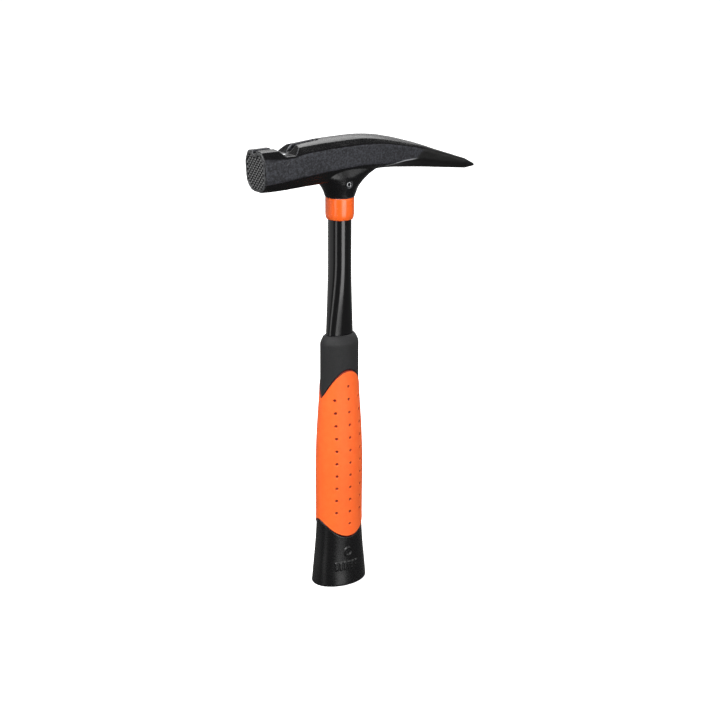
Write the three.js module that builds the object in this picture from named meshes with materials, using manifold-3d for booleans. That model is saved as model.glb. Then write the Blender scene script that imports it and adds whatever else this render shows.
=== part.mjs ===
// Roofing hammer with a tubular steel handle: a forged head with a flat striking poll on one side
// and a spike on the other, a magnetic nail holder on top of the poll, and a two-colour moulded grip.
//
// Millimetres. +Z runs up the handle, the origin is the centre of the butt's flat bottom face,
// -X points out of the striking face, +X along the spike, and Y is across the head.
// The whole hammer is mirror-symmetric about the XZ plane.

import * as THREE from 'three';
import { mergeVertices } from 'three/addons/utils/BufferGeometryUtils.js';
import Module from 'manifold-3d';

// ---------------------------------------------------------------- driving dimensions

const GAP = 0.3;                     // clearance between neighbouring pieces
const SEAM = 0.7;                    // width of the groove along the orange zone's scalloped ends

// Handle, grip and their common oval sections: height, half-width in X, half-width in Y.
const BUTT_Z = 0;
const GRIP_TOP_Z = 186.6;
const GRIP_SECTIONS = [
  [BUTT_Z, 21.5, 15.8],
  [13, 20.4, 14.6],
  [29, 18.8, 13.7],
  [45, 17.7, 13.3],
  [60, 17.45, 13.4],
  [83, 17.4, 13.9],
  [99, 17.2, 13.9],
  [114, 16.6, 13.4],
  [129, 15.8, 12.4],
  [144, 14.9, 11.2],
  [155, 14.7, 10.8],
  [GRIP_TOP_Z, 14.7, 10.7],
];
const BUTT_RIM = 1.6;                // rounding of the butt's lower edge
const BUTT_FLOOR = 10;               // solid thickness under the tube

// The soft orange zone wraps the grip all round. Its ends peak on the two flat sides (+-Y)
// and have a valley on the front and back edges (+-X).
const INLAY_TOP = { side: 162.5, edge: 142.6, power: 1.3 };
const INLAY_BOTTOM = { side: 37.2, edge: 50.0, power: 1.7 };
const INLAY_RISE = 0.5;              // how far the orange zone stands proud of the black
const INLAY_EDGE = 1.2;              // height over which it rises at its ends
const SOFT_SKIN = 2.2;               // thickness of the soft layers over the hard core
const RIM_CHAMFER = [[2.1, 1.2], [0, 5.9]];  // inset and drop of the grip's top edge
const RIM_LAND = 0.4;                // flat ring between that edge and the tube

// Steel tube: round at the top, flattened to an oval inside the grip, swaged down in the head.
const TUBE_R = 8.18;
const TUBE_WALL = 1.5;
const TUBE_OVAL = { x: 11.2, y: 5.8 };
const TUBE_OVAL_Z = 170;             // fully oval below this height
const TUBE_ROUND_Z = 240;            // fully round above this height
const TUBE_NECK_R = 6.6;
const TUBE_BOTTOM_Z = BUTT_FLOOR + GAP;
const TUBE_TOP_Z = 312;
const SWAGE_Z = [276.5, 282.5];
const PLUG_LENGTH = 14;

// Collar under the head.
const COLLAR_R = 9.95;
const COLLAR_Z = [268.4, 283.6];
const COLLAR_ROUND = 5.2;            // height of the rounded lower edge
const COLLAR_ROUND_IN = 1.1;         // how far that edge turns in

// Head socket and its liner.
const SOCKET_BOTTOM_Z = COLLAR_Z[1] + GAP;
const SOCKET_R = 8.0;
const SOCKET_TOP_Z = 313;
const LINER_OUT_R = SOCKET_R - GAP;
const LINER_IN_R = TUBE_NECK_R + GAP;

// Cross pin: a slit spring pin across the neck.
const PIN_Z = 293.5;
const PIN_R = 1.9;
const PIN_BORE_R = 1.0;
const PIN_SLIT = 0.7;
const PIN_LENGTH = 22.4;

// Striking face, leaning so that it meets the nail square on the arc of the swing.
const FACE_TOP = { x: -68.3, z: 321 };
const FACE_LEAN = THREE.MathUtils.degToRad(3.6);
const FACE_BEVEL = 1.3;

// Head sections across X. Each row: x, ridge height, crown drop, half-width of the crowned top,
// half-width of the side, upper and lower edge of the side flat, half-width of the underside,
// underside height.
const HEAD_SECTIONS = [
  [-60, 321.8, 0.8, 8.0, 12.0, 314.9, 300.5, 7.0, 294.2],
  [-46, 322.0, 0.9, 8.2, 12.0, 315.3, 301.9, 7.0, 294.6],
  [-37, 322.9, 1.2, 7.6, 12.0, 317.6, 302.9, 7.0, 295.0],
  [-18, 324.6, 1.9, 7.8, 11.8, 318.7, 304.4, 7.0, 295.6],
  [0, 325.0, 2.0, 7.7, 11.7, 319.3, 305.3, 7.0, 297.0],
  [13, 324.9, 2.0, 7.8, 11.6, 319.2, 305.6, 7.0, 299.0],
  [26.5, 323.6, 2.3, 8.0, 11.2, 318.4, 304.6, 6.4, 301.0],
  [40, 320.8, 2.3, 7.4, 9.9, 316.2, 303.6, 4.8, 300.3],
  [54, 317.0, 1.8, 6.3, 8.4, 313.3, 303.6, 3.2, 298.7],
  [68, 312.6, 0.9, 5.2, 7.0, 310.0, 302.6, 2.0, 297.0],
  [82, 307.6, 0.5, 4.0, 5.4, 305.6, 299.6, 1.2, 295.2],
  [97, 302.5, 0.4, 2.8, 3.8, 301.0, 296.8, 1.0, 293.3],
  [109, 298.4, 0.3, 1.8, 2.5, 297.3, 294.6, 0.9, 291.8],
];
const SPIKE_TIP = { x: 117.4, z: 293.2, half: 0.5 };

// Neck sections: height, reach in -X, reach in +X, half-width in Y.
const NECK_SECTIONS = [
  [SOCKET_BOTTOM_Z, 10.0, 10.0, 10.0],
  [287.5, 11.5, 11.8, 10.5],
  [290.3, 13.0, 13.2, 11.0],
  [293, 15.1, 15.9, 11.4],
  [296, 18.4, 20.2, 11.6],
  [298.4, 21.2, 23.9, 11.7],
  [301, 23.0, 30.0, 11.3],
  [305, 24.0, 33.0, 10.6],
];

// Nail holder on top of the poll: a lengthwise groove from the face, a cross notch with the
// magnet in its floor, and a slot between two prongs behind it.
const GROOVE = { half: 2.4, floor: 318.8 };
const NOTCH = { floor: 317.2, front: [-56.7, -50.0], rear: [-42.8, -36.6], top: 323.4 };
const SLOT = { half: 2.5, run: [-43.5, -17.5], floor: [317.2, 324.6] };
const MAGNET = { x: -46.4, r: 3.0, height: 5 };

// ---------------------------------------------------------------- materials

const blackLacquer = new THREE.MeshStandardMaterial({ color: 0x1b1c1e, roughness: 0.45, metalness: 0.3 });
const blackGloss = new THREE.MeshStandardMaterial({ color: 0x0c0c0d, roughness: 0.12, metalness: 0.2 });
const brightSteel = new THREE.MeshStandardMaterial({ color: 0xb9bbbd, roughness: 0.3, metalness: 1.0 });
const orangeGloss = new THREE.MeshStandardMaterial({ color: 0xff6a1a, roughness: 0.25, metalness: 0.0 });
const orangeSoft = new THREE.MeshStandardMaterial({ color: 0xfb6417, roughness: 0.7, metalness: 0.0 });
const blackHard = new THREE.MeshStandardMaterial({ color: 0x161617, roughness: 0.35, metalness: 0.0 });
const blackSoft = new THREE.MeshStandardMaterial({ color: 0x252527, roughness: 0.85, metalness: 0.0 });
const greyPlastic = new THREE.MeshStandardMaterial({ color: 0x8a8c8e, roughness: 0.5, metalness: 0.0 });

// ---------------------------------------------------------------- mesh helpers

const AROUND = 32;                   // segments round the handle

/** Geometry from a list of points and a list of triangles. */
function geometryFrom(points, triangles) {
  const geometry = new THREE.BufferGeometry();
  geometry.setAttribute('position', new THREE.Float32BufferAttribute(points.flat(), 3));
  geometry.setIndex(triangles.flat());
  geometry.computeVertexNormals();
  return geometry;
}

/** Closed solid through rings of equal length, each ring counter-clockwise seen from its far end. */
function loft(rings) {
  const count = rings[0].length;
  const points = rings.flat();
  const triangles = [];
  for (let r = 0; r + 1 < rings.length; r++) {
    for (let i = 0; i < count; i++) {
      const a = r * count + i;
      const b = r * count + (i + 1) % count;
      triangles.push([a, b, b + count], [a, b + count, a + count]);
    }
  }
  const last = (rings.length - 1) * count;
  for (const [first, flip] of [[0, true], [last, false]]) {
    const centre = points.length;
    const ring = points.slice(first, first + count);
    points.push([0, 1, 2].map((k) => ring.reduce((sum, p) => sum + p[k], 0) / count));
    for (let i = 0; i < count; i++) {
      const a = first + i;
      const b = first + (i + 1) % count;
      triangles.push(flip ? [centre, b, a] : [centre, a, b]);
    }
  }
  return geometryFrom(points, triangles);
}

/**
 * Solid swept round the Z axis whose section may change with the angle. outline(angle) gives
 * points [half-width in X, half-width in Y, z], running up the outside. A closed outline makes
 * a ring; an open one starts and ends on the axis.
 */
function sweepRound(outline, closed) {
  const points = [];
  const columns = [];
  const axisIndex = new Map();
  for (let i = 0; i < AROUND; i++) {
    const angle = 2 * Math.PI * i / AROUND;
    columns.push(outline(angle).map(([rx, ry, z], j) => {
      if (rx === 0 && axisIndex.has(j)) return axisIndex.get(j);
      if (rx === 0) axisIndex.set(j, points.length);
      points.push([rx * Math.cos(angle), ry * Math.sin(angle), z]);
      return points.length - 1;
    }));
  }
  const triangles = [];
  const rows = columns[0].length;
  for (let i = 0; i < AROUND; i++) {
    const here = columns[i];
    const next = columns[(i + 1) % AROUND];
    for (let j = 0; j < (closed ? rows : rows - 1); j++) {
      const k = (j + 1) % rows;
      if (here[j] !== next[j]) triangles.push([here[j], next[j], next[k]]);
      if (here[k] !== next[k]) triangles.push([here[j], next[k], here[k]]);
    }
  }
  return geometryFrom(points, triangles);
}

/** Value of a table at x, by monotone smooth interpolation of its columns. */
function tableAt(table, x) {
  const last = table.length - 1;
  if (x <= table[0][0]) return table[0].slice(1);
  if (x >= table[last][0]) return table[last].slice(1);
  const i = table.findIndex((row, n) => n < last && x <= table[n + 1][0]);
  const t = (x - table[i][0]) / (table[i + 1][0] - table[i][0]);
  const before = table[Math.max(i - 1, 0)];
  const after = table[Math.min(i + 2, last)];
  return table[i].slice(1).map((value, k) => {
    const c = k + 1;
    const span = table[i + 1][0] - table[i][0];
    const m0 = span * (table[i + 1][c] - before[c]) / (table[i + 1][0] - before[0]);
    const m1 = span * (after[c] - table[i][c]) / (after[0] - table[i][0]);
    const t2 = t * t;
    const t3 = t2 * t;
    return (2 * t3 - 3 * t2 + 1) * value + (t3 - 2 * t2 + t) * m0
      + (3 * t2 - 2 * t3) * table[i + 1][c] + (t3 - t2) * m1;
  });
}

// ---------------------------------------------------------------- joining and cutting

const wasm = await Module();
wasm.setup();

/** manifold-3d solid from a closed three.js geometry. */
function solid(geometry) {
  const bare = geometry.clone();
  bare.deleteAttribute('normal');
  if (bare.attributes.uv) bare.deleteAttribute('uv');
  const merged = mergeVertices(bare, 1e-5);
  return new wasm.Manifold(new wasm.Mesh({
    numProp: 3,
    vertProperties: new Float32Array(merged.attributes.position.array),
    triVerts: new Uint32Array(merged.index.array),
  }));
}

/** three.js geometry from a manifold-3d solid. */
function geometryOf(manifold) {
  const mesh = manifold.getMesh();
  const geometry = new THREE.BufferGeometry();
  geometry.setAttribute('position', new THREE.BufferAttribute(mesh.vertProperties, 3));
  geometry.setIndex(new THREE.BufferAttribute(mesh.triVerts, 1));
  geometry.computeVertexNormals();
  return geometry;
}

/** A round bar between two heights, on the Z axis. */
function barZ(radius, z0, z1, segments = AROUND) {
  return new THREE.CylinderGeometry(radius, radius, z1 - z0, segments)
    .rotateX(Math.PI / 2)
    .translate(0, 0, (z0 + z1) / 2);
}

/** A round bar across the neck, where the cross pin goes. */
function barY(radius, length, segments = 20) {
  return new THREE.CylinderGeometry(radius, radius, length, segments).translate(0, 0, PIN_Z);
}

/** A prism across the head: an outline in X and Z, extruded over the width from -half to +half. */
function prismY(outline, half) {
  const shape = new THREE.Shape(outline.map(([x, z]) => new THREE.Vector2(x, z)));
  return new THREE.ExtrudeGeometry(shape, { depth: 2 * half, bevelEnabled: false })
    .rotateX(Math.PI / 2)
    .translate(0, half, 0);
}

// ---------------------------------------------------------------- head

/** Points round one head section, starting at the ridge and turning towards -Y. */
function headSection(row, inset = 0) {
  const [ridge, crown, topHalf, side, upper, lower, underHalf, under] = row;
  const near = [
    [-topHalf * 0.55, ridge - crown * 0.3 - inset],
    [-topHalf + inset * 0.5, ridge - crown - inset],
    [-side + inset, upper - inset * 0.4],
    [-side + inset, lower + inset * 0.4],
    [-underHalf + inset * 0.5, under + inset],
  ];
  const far = near.map(([y, z]) => [-y, z]).reverse();
  return [[0, ridge - inset], ...near, ...far];
}

function headBody() {
  const faceRow = HEAD_SECTIONS[0].slice(1);
  const leanX = (z) => (FACE_TOP.z - z) * Math.tan(FACE_LEAN);
  const faceRing = (inset) => headSection(faceRow, FACE_BEVEL - inset)
    .map(([y, z]) => [FACE_TOP.x + leanX(z) + inset, y, z]);
  const rings = [faceRing(0), faceRing(FACE_BEVEL)];
  const stations = HEAD_SECTIONS.flatMap(([x], i) => {
    const next = HEAD_SECTIONS[i + 1];
    return next ? [x, (x + next[0]) / 2] : [x];
  });
  for (const x of stations) {
    rings.push(headSection(tableAt(HEAD_SECTIONS, x)).map(([y, z]) => [x, y, z]));
  }
  const tipRow = tableAt(HEAD_SECTIONS, Infinity);
  const middle = (tipRow[0] + tipRow[7]) / 2;
  const shrink = SPIKE_TIP.half / tipRow[3];
  rings.push(headSection(tipRow).map(([y, z]) => [
    SPIKE_TIP.x, y * shrink, SPIKE_TIP.z + (z - middle) * shrink]));
  return loft(rings);
}

function headNeck() {
  const rings = NECK_SECTIONS.map(([z, back, front, half]) => {
    const ring = [];
    for (let i = 0; i < AROUND; i++) {
      const angle = 2 * Math.PI * i / AROUND;
      const reach = Math.cos(angle) > 0 ? front : back;
      ring.push([reach * Math.cos(angle), half * Math.sin(angle), z]);
    }
    return ring;
  });
  return loft(rings);
}

/** The nail holder's three cuts in the top of the poll, and the magnet's pocket. */
function nailHolderCuts() {
  const top = NOTCH.top + 3;
  const groove = prismY([
    [FACE_TOP.x - 3, GROOVE.floor],
    [NOTCH.front[1], GROOVE.floor],
    [NOTCH.front[1], top],
    [FACE_TOP.x - 3, top],
  ], GROOVE.half);
  const slope = (NOTCH.top - NOTCH.floor) / (NOTCH.rear[1] - NOTCH.rear[0]);
  const notch = prismY([
    [NOTCH.front[0], NOTCH.top],
    [NOTCH.front[1], NOTCH.floor],
    [NOTCH.rear[0], NOTCH.floor],
    [NOTCH.rear[1] + (top - NOTCH.top) / slope, top],
    [NOTCH.front[0], top],
  ], 20);
  const slot = prismY([
    [SLOT.run[0], SLOT.floor[0]],
    [SLOT.run[0] + 9, SLOT.floor[0] + 0.6],
    [SLOT.run[1] - 4, SLOT.floor[0] + 3.6],
    [SLOT.run[1], SLOT.floor[1]],
    [SLOT.run[0], SLOT.floor[1]],
  ], SLOT.half);
  const pocketDepth = MAGNET.height + GAP;
  const pocket = barZ(MAGNET.r + GAP, NOTCH.floor - pocketDepth, NOTCH.floor + 1, 24)
    .translate(MAGNET.x, 0, 0);
  return [groove, notch, slot, pocket];
}

function hammerHead() {
  let head = solid(headBody()).add(solid(headNeck()));
  const socket = barZ(SOCKET_R, SOCKET_BOTTOM_Z - 5, SOCKET_TOP_Z);
  const pinHole = barY(PIN_R + GAP, 60);
  for (const cut of [...nailHolderCuts(), socket, pinHole]) {
    head = head.subtract(solid(cut));
  }
  return geometryOf(head);
}

function nailMagnet() {
  const bottom = NOTCH.floor - MAGNET.height;
  return barZ(MAGNET.r, bottom, NOTCH.floor, 24).translate(MAGNET.x, 0, 0);
}

/** Spring pin: a short tube with a slit along its whole length, on the underside. */
function crossPin() {
  const slit = new THREE.BoxGeometry(PIN_SLIT, PIN_LENGTH + 2, 2 * PIN_R)
    .translate(0, 0, PIN_Z - PIN_R);
  const pin = solid(barY(PIN_R, PIN_LENGTH))
    .subtract(solid(barY(PIN_BORE_R, PIN_LENGTH + 2)))
    .subtract(solid(slit));
  return geometryOf(pin);
}

function socketLiner() {
  const sleeve = solid(barZ(LINER_OUT_R, SOCKET_BOTTOM_Z + GAP, TUBE_TOP_Z))
    .subtract(solid(barZ(LINER_IN_R, SOCKET_BOTTOM_Z - 2, TUBE_TOP_Z + 2)))
    .subtract(solid(barY(PIN_R + GAP, 60)));
  return geometryOf(sleeve);
}

function collarRing() {
  const [bottom, top] = COLLAR_Z;
  const inner = TUBE_R + GAP;
  const outline = [
    [inner, top],
    [inner, bottom],
  ];
  const steps = 6;
  for (let i = 0; i <= steps; i++) {
    const t = (i / steps) * Math.PI / 2;
    outline.push([
      COLLAR_R - COLLAR_ROUND_IN * (1 - Math.sin(t)),
      bottom + COLLAR_ROUND * (1 - Math.cos(t)),
    ]);
  }
  outline.push([COLLAR_R, top], [inner, top]);
  return new THREE.LatheGeometry(outline.map(([r, z]) => new THREE.Vector2(r, z)), AROUND)
    .rotateX(Math.PI / 2);
}

// ---------------------------------------------------------------- handle

/** Outside half-widths of the steel tube at a height. */
function tubeSection(z) {
  const ovalShare = 1 - THREE.MathUtils.smoothstep(z, TUBE_OVAL_Z, TUBE_ROUND_Z);
  const swage = THREE.MathUtils.smoothstep(z, SWAGE_Z[0], SWAGE_Z[1]);
  const round = THREE.MathUtils.lerp(TUBE_R, TUBE_NECK_R, swage);
  return [
    THREE.MathUtils.lerp(round, TUBE_OVAL.x, ovalShare),
    THREE.MathUtils.lerp(round, TUBE_OVAL.y, ovalShare),
  ];
}

function handleTube() {
  const heights = [TUBE_BOTTOM_Z, ...steps(TUBE_OVAL_Z, TUBE_ROUND_Z, 6)];
  heights.push(SWAGE_Z[0], (SWAGE_Z[0] + SWAGE_Z[1]) / 2, SWAGE_Z[1], TUBE_TOP_Z);
  const outside = heights.map((z) => [...tubeSection(z), z]);
  const inside = outside.map(([rx, ry, z]) => [rx - TUBE_WALL, ry - TUBE_WALL, z]).reverse();
  const tube = solid(sweepRound(() => [...outside, ...inside], true))
    .subtract(solid(barY(PIN_R + GAP, 60)));
  return geometryOf(tube);
}

function tubePlug() {
  const clear = TUBE_WALL + GAP;
  const rx = TUBE_OVAL.x - clear;
  const ry = TUBE_OVAL.y - clear;
  const bottom = TUBE_BOTTOM_Z;
  const top = bottom + PLUG_LENGTH;
  return sweepRound(() => [
    [0, 0, bottom],
    [rx, ry, bottom],
    [rx, ry, top - 1],
    [rx - 1, ry - 1, top],
    [0, 0, top],
  ], false);
}

/** Outside half-widths of the grip at a height, less an inset. */
function gripSection(z, inset = 0) {
  const [rx, ry] = tableAt(GRIP_SECTIONS, z);
  return [rx - inset, ry - inset, z];
}

/** Height of an end of the orange zone at an angle: sides at +-90 degrees, edges at 0 and 180. */
function inlayEnd({ side, edge, power }, angle) {
  return edge + (side - edge) * Math.abs(Math.sin(angle)) ** power;
}

/** Even steps from one value to another, ends included. */
function steps(from, to, count) {
  return Array.from({ length: count + 1 }, (_, i) => from + (to - from) * i / count);
}

/** Hard core: a sleeve on the tube whose lower end is the exposed, flared butt. */
function gripCore() {
  const coreTop = GRIP_TOP_Z - 8;
  const tubeClear = ([rx, ry, z]) => [rx + GAP, ry + GAP, z];
  return sweepRound((angle) => {
    const shoulder = inlayEnd(INLAY_BOTTOM, angle) - SEAM / 2;
    const rim = [0, 0.5, 1].map((t) => gripSection(
      BUTT_RIM * (1 - Math.cos(t * Math.PI / 2)), BUTT_RIM * (1 - Math.sin(t * Math.PI / 2))));
    const butt = steps(BUTT_RIM + 4, shoulder, 5).map((z) => gripSection(z));
    const under = steps(shoulder, coreTop, 10).map((z) => gripSection(z, SOFT_SKIN));
    const bore = [coreTop, TUBE_OVAL_Z, TUBE_BOTTOM_Z - GAP].map((z) => tubeClear([...tubeSection(z), z]));
    return [[0, 0, BUTT_Z], ...rim, ...butt, ...under, ...bore, [0, 0, TUBE_BOTTOM_Z - GAP]];
  }, false);
}

/** Soft orange zone: a sleeve over the core, open at both scalloped ends. */
function gripInlay() {
  return sweepRound((angle) => {
    const low = inlayEnd(INLAY_BOTTOM, angle) + SEAM / 2;
    const high = inlayEnd(INLAY_TOP, angle) - SEAM / 2;
    const raised = steps(low + INLAY_EDGE, high - INLAY_EDGE, 9);
    const outside = raised.map((z) => gripSection(z, -INLAY_RISE));
    outside.unshift(gripSection(low));
    outside.push(gripSection(high));
    const inside = steps(high, low, 10).map((z) => gripSection(z, SOFT_SKIN - GAP));
    return [...outside, ...inside];
  }, true);
}

/** Soft black top of the grip, hugging the core and closing on the tube at its chamfered rim. */
function gripCover() {
  const seat = GRIP_TOP_Z - 8 + GAP;
  return sweepRound((angle) => {
    const low = inlayEnd(INLAY_TOP, angle) + SEAM / 2;
    const [[shoulderIn, shoulderDrop], [, rimDrop]] = RIM_CHAMFER;
    const outside = steps(low, GRIP_TOP_Z - rimDrop, 4).map((z) => gripSection(z));
    const [tubeX, tubeY] = tubeSection(GRIP_TOP_Z);
    const landIn = GAP + RIM_LAND;
    const rim = [
      gripSection(GRIP_TOP_Z - shoulderDrop, shoulderIn),
      [tubeX + landIn, tubeY + landIn, GRIP_TOP_Z],
    ];
    const lip = [GRIP_TOP_Z, seat].map((z) => [tubeX + GAP, tubeY + GAP, z]);
    const inside = steps(seat, low, 4).map((z) => gripSection(z, SOFT_SKIN - GAP));
    return [...outside, ...rim, ...lip, ...inside];
  }, true);
}

// ---------------------------------------------------------------- assembly

const roofingHammer = new THREE.Group();

function addPiece(name, geometry, material) {
  const mesh = new THREE.Mesh(geometry, material);
  mesh.name = name;
  roofingHammer.add(mesh);
}

addPiece('hammer_head', hammerHead(), blackLacquer);
addPiece('nail_magnet', nailMagnet(), brightSteel);
addPiece('cross_pin', crossPin(), brightSteel);
addPiece('socket_liner', socketLiner(), greyPlastic);
addPiece('collar_ring', collarRing(), orangeGloss);
addPiece('handle_tube', handleTube(), blackGloss);
addPiece('tube_plug', tubePlug(), greyPlastic);
addPiece('grip_core', gripCore(), blackHard);
addPiece('grip_inlay', gripInlay(), orangeSoft);
addPiece('grip_cover', gripCover(), blackSoft);

export default roofingHammer;
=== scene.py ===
"""Looks of the roofing hammer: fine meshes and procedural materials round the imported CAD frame."""

import math

import bmesh
import bpy
import numpy as np
from mathutils import Matrix, Vector, noise


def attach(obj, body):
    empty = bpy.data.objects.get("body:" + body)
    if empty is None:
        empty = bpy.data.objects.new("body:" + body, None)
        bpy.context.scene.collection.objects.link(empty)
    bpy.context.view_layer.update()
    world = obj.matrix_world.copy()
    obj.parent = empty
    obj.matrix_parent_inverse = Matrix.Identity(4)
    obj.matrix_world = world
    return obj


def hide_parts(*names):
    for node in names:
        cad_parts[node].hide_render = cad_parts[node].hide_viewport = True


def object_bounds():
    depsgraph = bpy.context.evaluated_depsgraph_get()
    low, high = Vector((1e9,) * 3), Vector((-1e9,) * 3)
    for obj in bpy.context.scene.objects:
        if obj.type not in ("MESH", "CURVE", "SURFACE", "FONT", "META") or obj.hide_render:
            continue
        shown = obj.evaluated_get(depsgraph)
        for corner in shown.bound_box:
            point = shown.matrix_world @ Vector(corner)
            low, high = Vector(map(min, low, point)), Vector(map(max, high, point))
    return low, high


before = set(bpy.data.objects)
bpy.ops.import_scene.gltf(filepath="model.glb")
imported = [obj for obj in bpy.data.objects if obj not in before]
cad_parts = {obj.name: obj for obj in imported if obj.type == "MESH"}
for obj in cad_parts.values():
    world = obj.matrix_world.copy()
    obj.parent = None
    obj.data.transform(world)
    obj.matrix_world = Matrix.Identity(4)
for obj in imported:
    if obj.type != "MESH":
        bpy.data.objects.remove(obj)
CAD_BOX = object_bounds()
MM = 0.001

# ------------------------------------------------------------------ dimensions, in millimetres
# They repeat the CAD part's, so each fine piece sits where its CAD node is.

GRIP_TOP_Z = 186.6
GRIP_SECTIONS = [
    (0, 21.5, 15.8), (13, 20.4, 14.6), (29, 18.8, 13.7), (45, 17.7, 13.3),
    (60, 17.45, 13.4), (83, 17.4, 13.9), (99, 17.2, 13.9), (114, 16.6, 13.4),
    (129, 15.8, 12.4), (144, 14.9, 11.2), (155, 14.7, 10.8), (GRIP_TOP_Z, 14.7, 10.7),
]
BUTT_RIM = 1.6
BUTT_FLOOR = 10
SOFT_SKIN = 2.2
INLAY_RISE = 0.5            # the orange zone stands proud of the black
SEAM = 0.5                  # gap between the orange and the black, shared by both
SEAM_SHADE = 1.3            # the orange darkens this near to its ends
INLAY_EDGE = 1.1            # rounding of the orange zone's ends
BLACK_EDGE = 0.5            # rounding of the black ends beside it
SKIN_INNER = SOFT_SKIN - 0.2
RIM_EDGE = [                # the grip's top edge: (stands back, below the top)
    (2.1, 1.2), (1.95, 1.45), (1.3, 2.7), (0.6, 4.2), (0.25, 5.1), (0.05, 6.0), (0.0, 7.0),
]
RIM_LAND = 0.7              # flat ring round the tube at the grip's top
CORE_TOP_Z = GRIP_TOP_Z - 8
INLAY_TOP = {"side": 162.5, "edge": 142.6, "power": 1.3}
INLAY_BOTTOM = {"side": 37.2, "edge": 50.0, "power": 1.7}

TUBE_R = 8.18
TUBE_WALL = 1.5
TUBE_OVAL = (11.2, 5.8)
TUBE_OVAL_Z = 170
TUBE_ROUND_Z = 240
TUBE_NECK_R = 6.6
TUBE_Z = (10.3, 312)
SWAGE_Z = (276.5, 282.5)

COLLAR_R = 9.95
COLLAR_Z = (268.4, 283.6)
COLLAR_ROUND = (1.1, 5.2)

SOCKET_R = 8.0
SOCKET_Z = (283.9, 313)
PIN_Z = 293.5
PIN_R = 1.9
PIN_BORE_R = 1.0
PIN_SLIT = 0.7
PIN_LENGTH = 22.4

FACE_TOP = (-68.3, 321)
FACE_LEAN = math.radians(3.6)
FACE_BEVEL = 1.3
FACE_CENTRE_Z = 307.5

# x, ridge, crown drop, half-width of top, of side, side flat's upper and lower edge,
# half-width of underside, underside height
HEAD_SECTIONS = [
    (-60, 321.8, 0.8, 8.0, 12.0, 314.9, 300.5, 7.0, 294.2),
    (-46, 322.0, 0.9, 8.2, 12.0, 315.3, 301.9, 7.0, 294.6),
    (-37, 322.9, 1.2, 7.6, 12.0, 317.6, 302.9, 7.0, 295.0),
    (-18, 324.6, 1.9, 7.8, 11.8, 318.7, 304.4, 7.0, 295.6),
    (0, 325.0, 2.0, 7.7, 11.7, 319.3, 305.3, 7.0, 297.0),
    (13, 324.9, 2.0, 7.8, 11.6, 319.2, 305.6, 7.0, 299.0),
    (26.5, 323.6, 2.3, 8.0, 11.2, 318.4, 304.6, 6.4, 301.0),
    (40, 320.8, 2.3, 7.4, 9.9, 316.2, 303.6, 4.8, 300.3),
    (54, 317.0, 1.8, 6.3, 8.4, 313.3, 303.6, 3.2, 298.7),
    (68, 312.6, 0.9, 5.2, 7.0, 310.0, 302.6, 2.0, 297.0),
    (82, 307.6, 0.5, 4.0, 5.4, 305.6, 299.6, 1.2, 295.2),
    (97, 302.5, 0.4, 2.8, 3.8, 301.0, 296.8, 1.0, 293.3),
    (109, 298.4, 0.3, 1.8, 2.5, 297.3, 294.6, 0.9, 291.8),
]
SPIKE_TIP = {"x": 117.4, "z": 293.2, "half": 0.5}
NECK_SECTIONS = [
    (283.9, 10.0, 10.0, 10.0), (287.5, 11.5, 11.8, 10.5), (290.3, 13.0, 13.2, 11.0),
    (293, 15.1, 15.9, 11.4), (296, 18.4, 20.2, 11.6), (298.4, 21.2, 23.9, 11.7),
    (301, 23.0, 30.0, 11.3), (305, 24.0, 33.0, 10.6),
]

GROOVE = {"half": 2.4, "floor": 318.8}
NOTCH = {"floor": 317.2, "front": (-56.7, -50.0), "rear": (-42.8, -36.6), "top": 323.4}
SLOT = {"half": 2.5, "run": (-43.5, -17.5), "floor": (317.2, 324.6)}
MAGNET = {"x": -46.4, "r": 3.0, "height": 5}

VOXEL = 0.35
HEAD_SWELL = 0.22           # the remeshed head is a little thin without it
FORGED_BUMPS = [(7.0, 0.10), (2.2, 0.035)]     # size across, height
CROWN_STEPS = 12            # points over half a turn of the head's top
GROUND = {"x": 66.0, "slant": 8, "low_z": 304.6, "rise": 7.5, "fade": 3.0}
FACET = {"start_x": 31, "z": (302.6, 304.6), "bend": (30, 22), "line_end": (54, 8)}
GRIP_COLUMNS = 160
WAFFLE = {"pitch": 2.3, "depth": 0.8, "margin": 0.6}
DIMPLE = {"r": 0.95, "depth": 0.9, "first_z": 150.5, "pitch": 9.37, "rows": 12, "side_x": 10.1}
DENT = {"x": -51.0, "z": 313.6, "r": 1.3, "depth": 0.5}
RING_MARK = {"x": -1.5, "z": 26.0, "r": 2.9, "half": 0.55}
BARS = {"x": [-10.5, -7.3, -4.1, -0.9, 2.3, 5.5], "z": (12.8, 18.2), "half": 0.75}
MARK_RISE = 0.6
CORNER_ROUND = 1.1          # of the forged head's long edges
FACE_CORNER_ROUND = 3.2     # of the same edges at the striking face

# ------------------------------------------------------------------ camera and lights, in metres

CAMERA_YAW = math.radians(36)
CAMERA_PITCH = math.radians(17.69)
CAMERA_ROLL = math.radians(0.39)
CAMERA_PLACE = Vector((-0.6167, -0.8735, 0.5080))
CAMERA_LENS = 80

WORLD_GLOW = 0.12
FLOOR_GLOW = 0.93
BACKDROP_GLOW = 1.0
FLOOR_R = 9.0
WALL_HEIGHT = 14.0
LIGHTS = [
    # name, turn from the camera, distance, height, (width, height) of the box, power in watts
    ("right_softbox", 36, 1.5, 0.30, (0.80, 1.3), 12),
    ("right_fill", 80, 1.4, 0.60, (0.80, 0.8), 4),
    ("left_softbox", -33, 1.6, 0.30, (0.45, 1.3), 3.2),
    ("left_wall", -100, 1.6, 0.30, (2.6, 1.6), 5.5),
    ("front_top_softbox", -25, 1.1, 1.5, (1.7, 1.1), 44),
    ("back_softbox", 180, 2.2, 1.05, (4.2, 1.5), 15),
    ("back_top_softbox", 168, 1.05, 1.5, (1.1, 1.0), 13),
    ("low_back", 180, 2.2, -0.5, (4.2, 0.9), 3.5),
]


# ------------------------------------------------------------------ small helpers

def lerp(a, b, t):
    return a + (b - a) * t


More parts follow.
